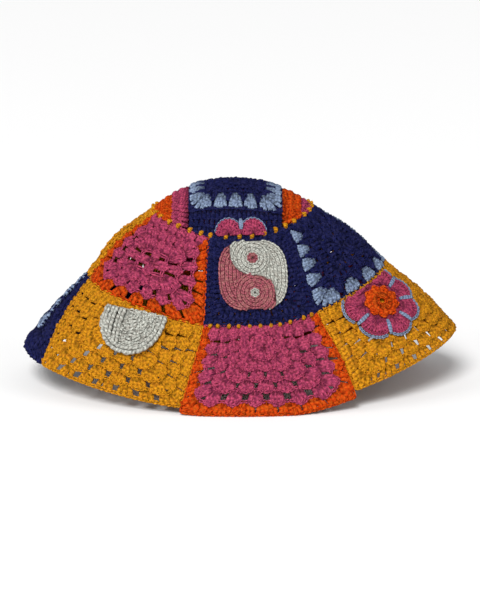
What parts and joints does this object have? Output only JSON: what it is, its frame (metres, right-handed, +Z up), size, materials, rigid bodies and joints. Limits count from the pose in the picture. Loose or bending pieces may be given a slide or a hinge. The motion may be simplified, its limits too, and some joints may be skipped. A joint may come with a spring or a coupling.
{
  "type": "crochet granny-square bucket hat",
  "caption": "Wide-brimmed crochet sun hat of joined granny squares with sewn-on disc, flower and shell motifs, standing on its rim.",
  "frame": {"origin": "on the surface that the hat stands on, under the middle of its box", "axes": "+Z up, +X to the wearer's left, which is the right of a viewer in front of the hat, -Y to the front, where the two-coloured disc is"},
  "size_m": [0.3185, 0.1959, 0.1505],
  "materials": {
    "navy_yarn": "matte crocheted cotton yarn",
    "pink_yarn": "matte crocheted cotton yarn with a darker fleck",
    "orange_yarn": "matte crocheted cotton yarn",
    "yellow_yarn": "matte crocheted cotton yarn",
    "light_blue_yarn": "matte crocheted cotton yarn",
    "cream_yarn": "matte crocheted cotton yarn",
    "rose_yarn": "matte crocheted cotton yarn with a paler fleck"
  },
  "bodies": {
    "root": {"side_square_left": "pink_yarn", "side_square_front": "navy_yarn", "side_square_right": "navy_yarn", "side_square_right_back": "yellow_yarn", "side_square_back": "pink_yarn", "side_square_left_back": "yellow_yarn", "brim_square_left": "yellow_yarn", "brim_square_front": "pink_yarn", "brim_square_right": "yellow_yarn", "brim_square_right_back": "pink_yarn", "brim_square_back": "yellow_yarn", "brim_square_left_back": "navy_yarn", "top_square": "navy_yarn", "top_front_panel": "navy_yarn", "top_back_panel": "pink_yarn", "top_left_inner": "pink_yarn", "top_left_outer": "orange_yarn", "top_right_inner": "orange_yarn", "top_right_outer": "pink_yarn", "disc_cream_half": "cream_yarn", "disc_rose_half": "rose_yarn", "disc_rose_eye": "rose_yarn", "disc_cream_eye": "cream_yarn", "flower_petals": "pink_yarn", "flower_edging": "light_blue_yarn", "flower_centre": "orange_yarn", "half_flower_petals": "pink_yarn", "half_flower_edging": "light_blue_yarn", "shell_patch": "cream_yarn"}
  },
  "joints": []
}
